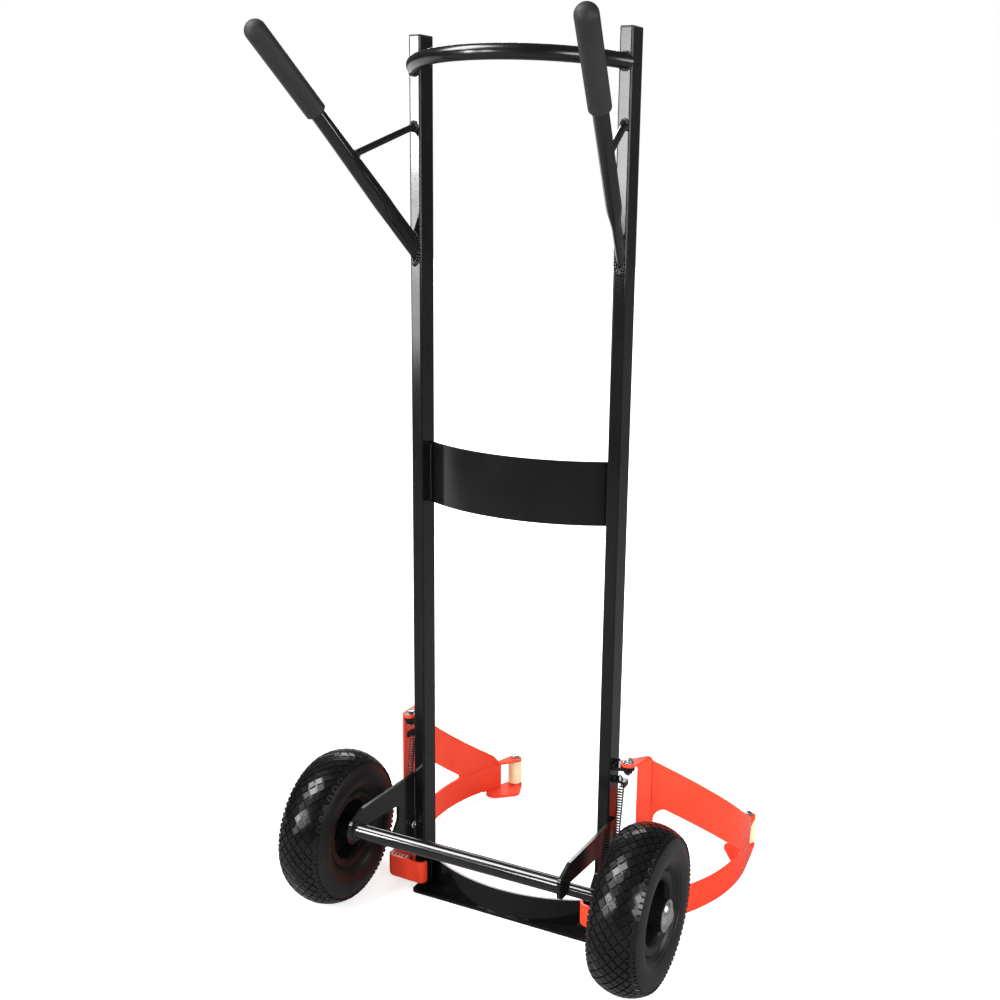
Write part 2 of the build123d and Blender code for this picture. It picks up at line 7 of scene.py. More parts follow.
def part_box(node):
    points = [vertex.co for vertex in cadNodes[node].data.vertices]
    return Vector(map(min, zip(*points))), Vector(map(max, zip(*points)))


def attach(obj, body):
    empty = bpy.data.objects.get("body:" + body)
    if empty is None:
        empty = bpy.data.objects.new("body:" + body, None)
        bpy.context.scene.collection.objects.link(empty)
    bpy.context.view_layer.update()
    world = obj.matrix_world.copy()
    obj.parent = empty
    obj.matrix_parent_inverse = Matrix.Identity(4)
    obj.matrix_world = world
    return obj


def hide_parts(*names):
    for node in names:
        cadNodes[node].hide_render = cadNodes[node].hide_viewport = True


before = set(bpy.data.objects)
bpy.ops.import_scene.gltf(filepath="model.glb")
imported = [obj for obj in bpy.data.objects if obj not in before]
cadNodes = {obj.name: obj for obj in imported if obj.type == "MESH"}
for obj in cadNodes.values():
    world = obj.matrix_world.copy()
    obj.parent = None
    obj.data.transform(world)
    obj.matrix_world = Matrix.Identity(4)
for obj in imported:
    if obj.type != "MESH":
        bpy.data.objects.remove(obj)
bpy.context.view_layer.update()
sides = {"left": -1, "right": 1}
mm = 0.001
print("frame loaded,", len(cadNodes), "nodes")


# shader sockets that take plain arithmetic
class Socket:
    def __init__(self, tree, socket):
        self.tree = tree
        self.socket = socket

    def maths(self, operation, first, second):
        return addNode(self.tree, "ShaderNodeMath", {"operation": operation}, {0: first, 1: second})

    def __add__(self, other):
        return self.maths("ADD", self, other)

    def __radd__(self, other):
        return self.maths("ADD", other, self)

    def __sub__(self, other):
        return self.maths("SUBTRACT", self, other)

    def __rsub__(self, other):
        return self.maths("SUBTRACT", other, self)

    def __mul__(self, other):
        return self.maths("MULTIPLY", self, other)

    def __rmul__(self, other):
        return self.maths("MULTIPLY", other, self)


# any node: its settings first, then the values or links of its sockets
def addNode(tree, kind, settings, values, output=0):
    made = tree.nodes.new(kind)
    for key, value in settings.items():
        setattr(made, key, value)
    for key, value in values.items():
        if isinstance(value, Socket):
            tree.links.new(value.socket, made.inputs[key])
        else:
            made.inputs[key].default_value = value
    return Socket(tree, made.outputs[output]) if made.outputs else None


def newMaterial(name):
    material = bpy.data.materials.new(name)
    material.use_nodes = True
    material.node_tree.nodes.clear()
    return material, material.node_tree


def objectPlace(tree, scale=(1, 1, 1)):
    place = addNode(tree, "ShaderNodeTexCoord", {}, {}, "Object")
    return addNode(tree, "ShaderNodeMapping", {}, {"Vector": place, "Scale": scale})


def noise(tree, place, scale, detail=2.0, roughness=0.5):
    return addNode(tree, "ShaderNodeTexNoise", {"noise_dimensions": "3D"},
                   {"Vector": place, "Scale": scale, "Detail": detail, "Roughness": roughness}, "Fac")


def spread(tree, value, low, high):
    return addNode(tree, "ShaderNodeMapRange", {"interpolation_type": "SMOOTHSTEP"},
                   {"Value": value, "From Min": low, "From Max": high})


def mixColour(tree, share, first, second):
    return addNode(tree, "ShaderNodeMix", {"data_type": "RGBA"}, {0: share, 6: (*first, 1), 7: (*second, 1)}, 2)


def bumpFrom(tree, height, strength, distance):
    return addNode(tree, "ShaderNodeBump", {}, {"Strength": strength, "Distance": distance, "Height": height})


def finishMaterial(tree, values):
    shader = addNode(tree, "ShaderNodeBsdfPrincipled", {}, values)
    addNode(tree, "ShaderNodeOutputMaterial", {}, {"Surface": shader})


def grey(level):
    return (level, level, level)


# powder coat: faint clouds in a deep colour, orange peel, specks of dust and a few fine rubs
coat = {
    "cloudScale": 9.0, "cloudTint": 0.8, "cloudMatt": 0.06, "speckScale": 620.0, "speckRange": (0.72, 0.8),
    "rubScale": 260.0, "rubStretch": (1, 1, 0.06), "rubRange": (0.66, 0.8), "rubMatt": 0.08,
    "peelScale": 420.0, "peelDepth": 0.0004,
}


def powderCoat(name, deep, pale, gloss, shine, peel, dust):
    material, tree = newMaterial(name)
    place = objectPlace(tree)
    cloud = noise(tree, place, coat["cloudScale"], detail=4.0)
    specks = spread(tree, noise(tree, place, coat["speckScale"]), *coat["speckRange"])
    streaks = noise(tree, objectPlace(tree, coat["rubStretch"]), coat["rubScale"], detail=3.0, roughness=0.7)
    rubs = spread(tree, streaks, *coat["rubRange"])
    tint = spread(tree, cloud, 0.3, 0.7) * coat["cloudTint"] + specks * dust
    matt = spread(tree, cloud, 0.25, 0.75) * coat["cloudMatt"] + rubs * coat["rubMatt"] + specks * dust
    finishMaterial(tree, {
        "Base Color": mixColour(tree, tint, deep, pale),
        "Roughness": gloss + matt,
        "Specular IOR Level": shine,
        "Normal": bumpFrom(tree, noise(tree, place, coat["peelScale"]), peel, coat["peelDepth"]),
    })
    return material


# zinc plating: cloudy crystals and fine drawing marks
plating = {"cloudScale": 110.0, "cloudMatt": 0.14, "fineScale": 900.0, "fineMatt": 0.06, "bump": 0.1, "depth": 0.0002}


def zincPlate(name, deep, pale, gloss):
    material, tree = newMaterial(name)
    place = objectPlace(tree)
    cloud = noise(tree, place, plating["cloudScale"], detail=4.0, roughness=0.6)
    fine = noise(tree, place, plating["fineScale"])
    finishMaterial(tree, {
        "Base Color": mixColour(tree, spread(tree, cloud, 0.3, 0.7), deep, pale),
        "Metallic": 1.0,
        "Roughness": gloss + cloud * plating["cloudMatt"] + fine * plating["fineMatt"],
        "Normal": bumpFrom(tree, fine, plating["bump"], plating["depth"]),
    })
    return material


# rubber: soft grain, paler where it is dusty
moulding = {"cloudScale": 14.0, "cloudTint": 0.7, "grainTint": 0.3, "cloudMatt": 0.1, "grainDepth": 0.0006}


def rubber(name, deep, pale, gloss, shine, grainScale, grain):
    material, tree = newMaterial(name)
    place = objectPlace(tree)
    cloud = noise(tree, place, moulding["cloudScale"], detail=5.0, roughness=0.6)
    fine = noise(tree, place, grainScale, detail=3.0, roughness=0.6)
    tint = spread(tree, cloud, 0.3, 0.75) * moulding["cloudTint"] + fine * moulding["grainTint"]
    finishMaterial(tree, {
        "Base Color": mixColour(tree, tint, deep, pale),
        "Roughness": gloss + spread(tree, cloud, 0.3, 0.7) * moulding["cloudMatt"],
        "Specular IOR Level": shine,
        "Normal": bumpFrom(tree, fine, grain, moulding["grainDepth"]),
    })
    return material


# natural nylon with turning marks
turning = {
    "markScale": 140.0, "markWaver": 0.4, "markBump": 0.05, "markDepth": 0.0003, "cloudScale": 50.0, "cloudMatt": 0.12,
}


def nylon(name, deep, pale, gloss):
    material, tree = newMaterial(name)
    place = objectPlace(tree)
    marks = addNode(tree, "ShaderNodeTexWave", {"wave_type": "BANDS", "bands_direction": "Z"},
                    {"Vector": place, "Scale": turning["markScale"], "Distortion": turning["markWaver"]})
    cloud = noise(tree, place, turning["cloudScale"], detail=3.0)
    finishMaterial(tree, {
        "Base Color": mixColour(tree, spread(tree, cloud, 0.3, 0.7), deep, pale),
        "Roughness": gloss + cloud * turning["cloudMatt"],
        "Normal": bumpFrom(tree, marks, turning["markBump"], turning["markDepth"]),
    })
    return material


black = {"deep": grey(0.0045), "pale": grey(0.0075)}
blackPaint = powderCoat("blackPaint", **black, gloss=0.11, shine=0.32, peel=0.03, dust=0.04)
tubePaint = powderCoat("tubePaint", **black, gloss=0.09, shine=0.6, peel=0.02, dust=0.03)
bowPaint = powderCoat("bowPaint", **black, gloss=0.2, shine=0.5, peel=0.02, dust=0.03)
rimPaint = powderCoat("rimPaint", deep=grey(0.005), pale=grey(0.01), gloss=0.3, shine=0.36, peel=0.06, dust=0.06)
redPaint = powderCoat("redPaint", deep=(0.82, 0.054, 0.022), pale=(0.88, 0.07, 0.03), gloss=0.2, shine=0.2, peel=0.04,
                      dust=0.03)
zinc = zincPlate("zinc", deep=(0.62, 0.62, 0.61), pale=(0.78, 0.78, 0.76), gloss=0.16)
springZinc = zincPlate("springZinc", deep=grey(0.06), pale=(0.1, 0.1, 0.098), gloss=0.08)
# a pale, rough copy of zinc: a painted highlight on the long spring's ring, and painted light on the tail spring,
# which sits in shade
paintedHighlightZinc = zincPlate("paintedHighlightZinc", deep=(0.92, 0.92, 0.91), pale=(0.97, 0.97, 0.95), gloss=0.36)
gripRubber = rubber("gripRubber", deep=grey(0.014), pale=grey(0.021), gloss=0.55, shine=0.3, grainScale=1500.0,
                    grain=0.03)
treadRubber = rubber("treadRubber", deep=grey(0.003), pale=grey(0.007), gloss=0.17, shine=0.34, grainScale=500.0,
                     grain=0.2)
sidewallRubber = rubber("sidewallRubber", deep=grey(0.007), pale=grey(0.012), gloss=0.33, shine=0.36, grainScale=700.0,
                        grain=0.12)
capPlastic = rubber("capPlastic", deep=grey(0.01), pale=grey(0.016), gloss=0.38, shine=0.4, grainScale=1200.0,
                    grain=0.08)
rollerNylon = nylon("rollerNylon", deep=(0.86, 0.76, 0.43), pale=(0.91, 0.83, 0.53), gloss=0.38)
print("materials made")


# new pieces are drawn in millimetres, painted, and ride on their body
def addPiece(name, bm, materials, body, stands=(), smooth=40):
    bmesh.ops.scale(bm, vec=(mm, mm, mm), verts=bm.verts)
    mesh = bpy.data.meshes.new(name)
    bm.to_mesh(mesh)
    bm.free()
    piece = bpy.data.objects.new(name, mesh)
    bpy.context.scene.collection.objects.link(piece)
    for material in materials:
        mesh.materials.append(material)
    mesh.shade_smooth()
    mesh.set_sharp_from_angle(angle=math.radians(smooth))
    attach(piece, body)
    if stands:
        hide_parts(*stands)
    return piece


# a finished row of small shapes joins the piece that it belongs to
def joinRow(bm, row):
    spare = bpy.data.meshes.new("row")
    row.to_mesh(spare)
    row.free()
    bm.from_mesh(spare)
    bpy.data.meshes.remove(spare)


# turns Z to a way and X as near as can be to another
def axisMatrix(place, way, across):
    up = Vector(way).normalized()
    right = Vector(across)
    right = (right - up * right.dot(up)).normalized()
    ahead = up.cross(right)
    return Matrix.Translation(place) @ Matrix((right, ahead, up)).transposed().to_4x4()


# the frame of an arm: A outward from its pivot, B ahead, Z up
armStand = {"pivot": (201, 4), "left": -2, "right": 13}


def armMatrix(sideName):
    side = sides[sideName]
    x, y = armStand["pivot"]
    turn = Matrix.Rotation(math.radians(-side * armStand[sideName]), 4, "Z")
    return Matrix.Translation((side * x, y, 0)) @ turn @ Matrix.Diagonal((side, 1, 1, 1))


# tyres: a spun carcass, rows of diamond blocks, a row of short lugs on each shoulder and two ribs on each wall
tyre = {
    "beadHalf": 27, "flange": 64.2, "seat": 51.3, "bellyHalf": 42.3, "belly": 90.5, "shoulderHalf": 33,
    "shoulderDrop": 9, "groove": 1.9, "margin": 0.3, "wallSteps": 16, "crownSteps": 10, "turns": 128, "merge": 0.01,
    "treadShare": 0.97, "blocks": 42, "rowStep": 8.6, "rows": 4, "gap": 0.87, "blockFoot": 1.05, "blockTop": 0.88,
    "blockDepth": 3.8, "lugs": 84, "lugSize": (5.8, 9.0, 2.85), "lugLean": 1.1, "ribs": (71, 77), "ribSize": 0.7,
    "ribSides": 6, "ribTurns": 96,
}


def circleThrough(first, second, third):
    (ax, ay), (bx, by), (cx, cy) = first, second, third
    twice = 2 * (ax * (by - cy) + bx * (cy - ay) + cx * (ay - by))
    aa, bb, cc = ax * ax + ay * ay, bx * bx + by * by, cx * cx + cy * cy
    x = (aa * (by - cy) + bb * (cy - ay) + cc * (ay - by)) / twice
    y = (aa * (cx - bx) + bb * (ax - cx) + cc * (bx - ax)) / twice
    return Vector((x, 0, y)), math.hypot(ax - x, ay - y)


def spinArc(bm, start, centre, angle, steps):
    made = bmesh.ops.spin(bm, geom=[start], cent=centre, axis=(0, 1, 0), dvec=(0, 0, 0),
                          angle=angle, steps=steps, use_merge=False, use_normal_flip=False, use_duplicate=False)
    return [item for item in made["geom_last"] if isinstance(item, bmesh.types.BMVert)][0]


def spinRound(bm, geom, steps):
    bmesh.ops.spin(bm, geom=geom, cent=(0, 0, 0), axis=(1, 0, 0), dvec=(0, 0, 0), angle=2 * math.pi, steps=steps,
                   use_merge=True, use_normal_flip=False, use_duplicate=False)


def paintTread(row):
    for face in row.faces:
        face.material_index = 1


def makeTyre(name):
    low, high = (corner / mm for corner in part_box(name + "_tyre"))
    crown = (high.z - low.z) / 2 - tyre["margin"] / 2
    shoulder = crown - tyre["shoulderDrop"]
    base = tyre["groove"]
    edge = tyre["shoulderHalf"]
    crownMiddle, crownRadius = circleThrough((-edge, shoulder), (0, crown), (edge, shoulder))
    wallMiddle, wallRadius = circleThrough((tyre["beadHalf"], tyre["flange"]), (tyre["bellyHalf"], tyre["belly"]),
                                           (edge, shoulder))
    bm = bmesh.new()
    # half of the section: up the wall, a small step, and over to the crown; then mirrored
    foot = bm.verts.new((tyre["beadHalf"], 0, tyre["seat"]))
    ankle = bm.verts.new((tyre["beadHalf"], 0, tyre["flange"]))
    bm.edges.new((foot, ankle))
    way = ankle.co - wallMiddle
    top = Vector((edge, 0, shoulder)) - wallMiddle
    end = spinArc(bm, ankle, wallMiddle, math.atan2(way.z, way.x) - math.atan2(top.z, top.x), tyre["wallSteps"])
    step = bm.verts.new(end.co + (crownMiddle - end.co).normalized() * base)
    bm.edges.new((end, step))
    lean = math.atan2(step.co.x, step.co.z - crownMiddle.z)
    spinArc(bm, step, crownMiddle, -lean, tyre["crownSteps"]).co.x = 0
    bmesh.ops.mirror(bm, geom=bm.verts[:] + bm.edges[:], matrix=Matrix.Identity(4), merge_dist=tyre["merge"], axis="X")
    bmesh.ops.remove_doubles(bm, verts=bm.verts, dist=tyre["merge"])
    bm.edges.new([vert for vert in bm.verts if len(vert.link_edges) == 1])
    spinRound(bm, bm.verts[:] + bm.edges[:], tyre["turns"])
    bmesh.ops.remove_doubles(bm, verts=bm.verts, dist=tyre["merge"])
    bmesh.ops.recalc_face_normals(bm, faces=bm.faces)
    for face in bm.faces:
        middle = face.calc_center_median()
        onTread = abs(middle.x) < edge * tyre["treadShare"] and math.hypot(middle.y, middle.z) > shoulder - base
        face.material_index = 1 if onTread else 0
    # diamond blocks in staggered rows over the crown, then the shoulder lugs
    turn = 2 * math.pi

    def onCrown(lean, around):
        reach = crownMiddle.z + (crownRadius - base) * math.cos(lean)
        out = Vector((0, math.sin(around), math.cos(around)))
        normal = Vector((math.sin(lean), 0, 0)) + out * math.cos(lean)
        spot = Vector(((crownRadius - base) * math.sin(lean), 0, 0)) + out * reach
        return axisMatrix(spot, normal, (0, math.cos(around), -math.sin(around))), reach + base

    for across in range(-tyre["rows"], tyre["rows"] + 1):
        row = bmesh.new()
        for count in range(tyre["blocks"]):
            around = (count + 0.5 * (across % 2)) * turn / tyre["blocks"]
            spot, reach = onCrown(across * tyre["rowStep"] / crownRadius, around)
            along = math.pi * reach / tyre["blocks"] * tyre["gap"]
            size = Matrix.Diagonal((along, tyre["rowStep"] * tyre["gap"], 1, 1))
            bmesh.ops.create_cone(row, cap_ends=True, cap_tris=False, segments=4, radius1=tyre["blockFoot"],
                                  radius2=tyre["blockTop"], depth=tyre["blockDepth"], matrix=spot @ size)
        paintTread(row)
        joinRow(bm, row)
    for hand in (-1, 1):
        lean = hand * math.asin(edge / crownRadius) * tyre["lugLean"]
        row = bmesh.new()
        for count in range(tyre["lugs"]):
            spot = onCrown(lean, count * turn / tyre["lugs"])[0]
            bmesh.ops.create_cube(row, size=1.0, matrix=spot @ Matrix.Diagonal((*tyre["lugSize"], 1)))
        paintTread(row)
        joinRow(bm, row)
    # thin moulded ribs on both walls
    for hand in (-1, 1):
        for radius in tyre["ribs"]:
            x = wallMiddle.x + math.sqrt(wallRadius ** 2 - (radius - wallMiddle.z) ** 2)
            place = Matrix.Translation((hand * x, 0, radius)) @ Matrix.Rotation(math.pi / 2, 4, "X")
            ring = bmesh.ops.create_circle(bm, cap_ends=False, segments=tyre["ribSides"], radius=tyre["ribSize"],
                                           matrix=place)["verts"]
            spinRound(bm, ring + list({link for vert in ring for link in vert.link_edges}), tyre["ribTurns"])
    bmesh.ops.translate(bm, verts=bm.verts, vec=(low + high) / 2)
    return addPiece(name + "TyreTread", bm, [sidewallRubber, treadRubber], name + "_wheel",
                    [name + "_tyre"], smooth=35)


for sideName in sides:
    makeTyre(sideName)
print("tyres made")


# wire and tube: one round section drawn through bends and runs, pressed where asked, closed at both ends
class RoundStock:
    def __init__(self, place, way, across, diameter, segments=8):
        self.mesh = bmesh.new()
        bmesh.ops.create_circle(self.mesh, cap_ends=False, segments=segments, radius=diameter / 2,
                                matrix=axisMatrix(place, way, across))
        self.end = self.mesh.verts[:] + self.mesh.edges[:]

    def bend(self, centre, axis, degrees, steps, rise=0.0):
        made = bmesh.ops.spin(self.mesh, geom=self.end, cent=centre, axis=axis, dvec=Vector(axis) * (rise / steps),
                              angle=math.radians(degrees), steps=steps, use_merge=False, use_normal_flip=False,
                              use_duplicate=False)
        self.end = made["geom_last"]

    def run(self, move):
        edges = [item for item in self.end if isinstance(item, bmesh.types.BMEdge)]
        made = bmesh.ops.extrude_edge_only(self.mesh, edges=edges)
        verts = {item for item in made["geom"] if isinstance(item, bmesh.types.BMVert)}
        bmesh.ops.translate(self.mesh, verts=list(verts), vec=move)
        rim = {edge for vert in verts for edge in vert.link_edges if set(edge.verts) <= verts}
        self.end = list(verts) + list(rim)

    def press(self, centre, wide, thin):
        verts = [item for item in self.end if isinstance(item, bmesh.types.BMVert)]
        bmesh.ops.scale(self.mesh, vec=(wide, thin, 1), space=Matrix.Translation(-Vector(centre)), verts=verts)

    def close(self, matrix):
        bmesh.ops.holes_fill(self.mesh, edges=self.mesh.edges, sides=0)
        bmesh.ops.transform(self.mesh, matrix=matrix, verts=self.mesh.verts)
        bmesh.ops.recalc_face_normals(self.mesh, faces=self.mesh.faces)
        return self.mesh


# long springs: a ring, a run through the side plate's hole, close coils and a hook over the anchor
longSpring = {
    "foot": (193, -28, 112), "way": (0, 28, 163), "lift": 9, "wire": 2.4, "radius": 4.5, "lead": 5, "curls": 34,
    "low": -2.0, "high": 143.1, "top": 158.79, "join": 1.6875, "joinTurn": 126.87, "joinRise": 0.75, "bend": 4,
    "ring": 5, "ringTurn": 300, "reach": 10, "hook": 3, "steps": 16, "ringSteps": 28, "bendSteps": 6, "joinSteps": 6,
    "riseSteps": 5, "hookSteps": 12,
}


def makeLongSpring(name, side):
    s = longSpring
    back = -side
    bend, ring, half = s["bend"], s["ring"], s["radius"] / 2
    middle = Vector((-s["reach"] - 2 * bend, back * bend, ring - bend - s["lead"]))
    gap = math.radians(360 - s["ringTurn"])
    spoke = Vector((0, -back * math.sin(gap), -math.cos(gap)))
    turnAxis = Vector((-back, 0, 0))
    wire = RoundStock(middle + spoke * ring, turnAxis.cross(spoke), turnAxis, s["wire"])
    wire.bend(middle, turnAxis, s["ringTurn"], s["ringSteps"])  # ring behind the side plate
    foot = -s["lead"] - bend
    wire.bend((-s["reach"] - bend, back * bend, foot), (0, 0, back), 90, s["bendSteps"])
    wire.run((s["reach"], 0, 0))  # through the plate's hole
    wire.bend((-bend, 0, -s["lead"]), (0, -1, 0), 90, s["bendSteps"])
    wire.bend((0, half, -s["lead"]), (-1, 0, 0), 90, s["riseSteps"])
    wire.bend((-s["join"], half, 0), (0, 0, 1), s["joinTurn"], s["joinSteps"], s["joinRise"])
    wire.bend((0, 0, 0), (0, 0, 1), 360 * s["curls"], s["curls"] * s["steps"], s["high"] - s["low"])
    wire.bend((-s["join"], half, 0), (0, 0, 1), s["joinTurn"], s["joinSteps"], s["joinRise"])
    turned = math.radians(2 * s["joinTurn"])
    heading = Vector((-math.sin(turned), math.cos(turned), 0))
    crest = s["high"] + s["joinRise"] + half
    wire.bend(-heading * half + Vector((0, 0, crest)), heading.cross((0, 0, 1)), 90, s["riseSteps"])
    wire.run((0, 0, s["top"] - crest))
    wire.bend((-s["hook"], 0, s["top"]), (0, -1, 0), 180, s["hookSteps"])  # hook over the anchor
    wire.run((0, 0, -s["wire"]))
    # the ring behind the plate takes the pale zinc copy: a painted highlight on the same wire as the dark coils
    for face in wire.mesh.faces:  # the ring behind the plate is paler
        face.material_index = 1 if face.calc_center_median().x < -s["reach"] else 0
    x, y, z = s["foot"]
    stand = axisMatrix((side * x, y, z), s["way"], (side, 0, 0)) @ Matrix.Translation((0, 0, s["lift"]))
    return addPiece(name + "LongSpring", wire.close(stand), [springZinc, paintedHighlightZinc], "frame",
                    [name + "_long_spring"], smooth=60)


# tail spring: a closed coil at each end and open coils between
tailSpring = {
    "seat": (13.4, -39, 51), "wire": 1.8, "sides": 10, "radius": 6.0, "length": 30, "curls": 5, "dead": 1.8,
    "steps": 20,
}


def makeTailSpring(name):
    s = tailSpring
    wire = RoundStock((s["radius"], 0, 0), (0, 1, 0), (1, 0, 0), s["wire"], s["sides"])
    live = s["curls"] - 1
    for curls, rise in ((1, s["dead"]), (live, s["length"] - 2 * s["dead"]), (1, s["dead"])):
        wire.bend((0, 0, 0), (0, 0, 1), 360 * curls, s["steps"] * curls, rise)
    stand = armMatrix(name) @ Matrix.Translation(s["seat"]) @ Matrix.Rotation(-math.pi / 2, 4, "Y")
    # the tail spring takes the pale zinc copy: painted light on a coil that sits in shade inside the tail
    return addPiece(name + "TailSpring", wire.close(stand), [paintedHighlightZinc], name + "_arm",
                    [name + "_tail_spring"], smooth=60)


for sideName, side in sides.items():
    makeLongSpring(sideName, side)
    makeTailSpring(sideName)
print("springs made")


# handles: round tubes that deepen towards their feet, which are pressed flat and mitred to the uprights
handle = {
    "root": (171.5, -20, 1100), "tip": (241.5, -322, 1399), "radius": 11, "pressed": (15.2, 6.5), "drop": 2.9,
    "deepen": (300, 20), "press": (98, 58), "end": 420, "segments": 40, "cutGap": 0.001,
    "stations": (300, 260, 220, 180, 140, 110, 98, 92, 86, 80, 74, 68, 62, 58, 40, 20, -40),
}
handleRoot = Vector(handle["root"])
handleRun = Vector(handle["tip"]) - handleRoot
handleStand = axisMatrix(handleRoot, handleRun, (0, 0, 1))


def makeHandle(name, side):
    s = handle
    tube = RoundStock((0, 0, s["end"]), (0, 0, -1), (1, 0, 0), 2 * s["radius"], s["segments"])
    wide = thin = s["radius"]
    drop, place = 0.0, s["end"]
    for station in s["stations"]:
        shares = []
        for first, last in (s["deepen"], s["press"]):
            share = min(max((first - station) / (first - last), 0), 1)
            shares.append(share * share * (3 - 2 * share))
        newWide, newThin = (s["radius"] + (half - s["radius"]) * share
                            for half, share in zip(s["pressed"], shares))
        newDrop = s["drop"] * shares[0]
        tube.run((drop - newDrop, 0, station - place))
        tube.press((-newDrop, 0, 0), newWide / wide, newThin / thin)
        wide, thin, drop, place = newWide, newThin, newDrop, station
    bm = tube.close(Matrix.Diagonal((side, 1, 1, 1)) @ handleStand)
    cut = bmesh.ops.bisect_plane(bm, geom=bm.verts[:] + bm.edges[:] + bm.faces[:], dist=s["cutGap"],
                                 plane_co=(0, handleRoot.y, 0), plane_no=(0, 1, 0), clear_outer=True)
    mitre = [item for item in cut["geom_cut"] if isinstance(item, bmesh.types.BMEdge)]
    bmesh.ops.holes_fill(bm, edges=mitre, sides=0)
    bmesh.ops.recalc_face_normals(bm, faces=bm.faces)
    return addPiece(name + "HandleTube", bm, [tubePaint], "frame", [name + "_handle"])


for sideName, side in sides.items():
    makeHandle(sideName, side)
print("handles made")


# bolts are stacks of discs and hexagons, each with its upper rim softened
def addDisc(bm, matrix, radius, low, high, soften, segments=32):
    place = matrix @ Matrix.Translation((0, 0, (low + high) / 2))
    made = bmesh.ops.create_cone(bm, cap_ends=True, cap_tris=False, segments=segments, radius1=radius,
                                 radius2=radius, depth=high - low, matrix=place)
    axis = (matrix.to_3x3() @ Vector((0, 0, 1))).normalized()
    start = place.to_translation()
    rim = [edge for edge in {edge for vert in made["verts"] for edge in vert.link_edges}
           if all((vert.co - start).dot(axis) > 0 for vert in edge.verts)]
    bmesh.ops.bevel(bm, geom=rim, offset=soften, affect="EDGES", segments=2, profile=0.5, material=-1)


# hinge bolts: a hexagon on a round flange, and thread ridges below the nut
hingeBolt = {
    "head": 13, "headTurn": 0.3, "headSoft": 0.7, "headSink": 0.4, "flange": 8.6, "flangeSoft": 0.5, "low": 304.4,
    "flangeTop": 305.8, "top": 310.2, "shank": 3.95, "shankRise": 0.2, "shankSoft": 0.2, "shankSides": 20,
    "tail": 283.2, "ridges": 3, "ridgeStart": 0.5, "ridgeHigh": 0.5, "ridgeOut": 0.04,
}


def makeHingeBolt(name, side):
    s = hingeBolt
    x, y = armStand["pivot"]
    stand = Matrix.Translation((side * x, y, 0)) @ Matrix.Rotation(s["headTurn"], 4, "Z")
    bm = bmesh.new()
    addDisc(bm, stand, s["flange"], s["low"], s["flangeTop"], s["flangeSoft"])
    addDisc(bm, stand, s["head"] / math.sqrt(3), s["flangeTop"] - s["headSink"], s["top"], s["headSoft"], segments=6)
    addDisc(bm, stand, s["shank"], s["tail"], s["low"] + s["shankRise"], s["shankSoft"], s["shankSides"])
    for turn in range(s["ridges"]):
        low = s["tail"] + s["ridgeStart"] + turn
        addDisc(bm, stand, s["shank"] + s["ridgeOut"], low, low + s["ridgeHigh"], s["shankSoft"], s["shankSides"])
    return addPiece(name + "HingeBolt", bm, [zinc], "frame", [name + "_hinge_bolt"], smooth=30)


# roller bolts: a shank through the roller, a washer on the lug, a nut and its collar
rollerBolt = {
    "place": (6, 390), "shank": 3.95, "shankSoft": 0.3, "shankSides": 20, "low": 2.1, "lugTop": 61.9, "washer": 8.0,
    "washerSoft": 0.3, "washerTop": 63.1, "head": 13, "nutSink": 0.2, "nutSoft": 0.6, "nutTop": 66.8, "collar": 5.2,
    "collarSink": 0.4, "collarSoft": 0.5, "collarSides": 24, "top": 68.3,
}


def makeRollerBolt(name):
    s = rollerBolt
    stand = armMatrix(name) @ Matrix.Translation((*s["place"], 0))
    bm = bmesh.new()
    addDisc(bm, stand, s["shank"], s["low"], s["washerTop"], s["shankSoft"], s["shankSides"])
    addDisc(bm, stand, s["washer"], s["lugTop"], s["washerTop"], s["washerSoft"])
    addDisc(bm, stand, s["head"] / math.sqrt(3), s["washerTop"] - s["nutSink"], s["nutTop"], s["nutSoft"], segments=6)
    addDisc(bm, stand, s["collar"], s["nutTop"] - s["collarSink"], s["top"], s["collarSoft"], s["collarSides"])
    bmesh.ops.recalc_face_normals(bm, faces=bm.faces)
    return addPiece(name + "RollerBolt", bm, [zinc], name + "_arm", [name + "_roller_bolt"], smooth=30)


for sideName, side in sides.items():
    makeHingeBolt(sideName, side)
    makeRollerBolt(sideName)
print("bolts made")


# welds: rows of overlapping squashed beads
weld = {"squash": 0.72, "step": 0.85, "waver": 0.12, "beat": 2.4, "around": 8, "along": 6, "smooth": 75}


def lineOf(start, end, size):
    start, end = Vector(start), Vector(end)
    count = max(2, round((end - start).length / (size * weld["step"])))
    return [start.lerp(end, place / count) for place in range(count + 1)]


def ringOf(centre, across, up, size, first=0, last=360):
    across, up = Vector(across), Vector(up)
    length = math.radians(last - first) * (across.length + up.length) / 2
    count = max(6, round(length / (size * weld["step"])))
    angles = [math.radians(first + (last - first) * place / count) for place in range(count + 1)]
    return [Vector(centre) + across * math.cos(angle) + up * math.sin(angle) for angle in angles]


def layBeads(bm, points, size):
    row = bmesh.new()
    for count, point in enumerate(points):
        along = points[min(count + 1, len(points) - 1)] - points[max(count - 1, 0)]
        across = (0, 0, 1) if abs(along.normalized().z) < 0.9 else (1, 0, 0)
        swell = size * (1 + weld["waver"] * math.sin(count * weld["beat"]))
        shape = Matrix.Diagonal((swell, swell, size * weld["squash"], 1))
        bmesh.ops.create_uvsphere(row, u_segments=weld["around"], v_segments=weld["along"], radius=1.0,
                                  matrix=axisMatrix(point, along, across) @ shape)
    joinRow(bm, row)


# points drawn for the right side, put on either side
def onSide(side, points):
    return [Vector((side * point.x, point.y, point.z)) for point in points]


def weldLine(bm, side, start, end, size):
    layBeads(bm, onSide(side, lineOf(start, end, size)), size)


# the right upright's faces
upright = {"middle": 170, "inner": 160, "outer": 180, "rear": -20}

# bow ends: a fillet over and one under the tube
bowWeld = {"z": 1360, "stand": 0.3, "radius": 11.6, "size": 2.3, "arcs": ((48, 132), (228, 312))}


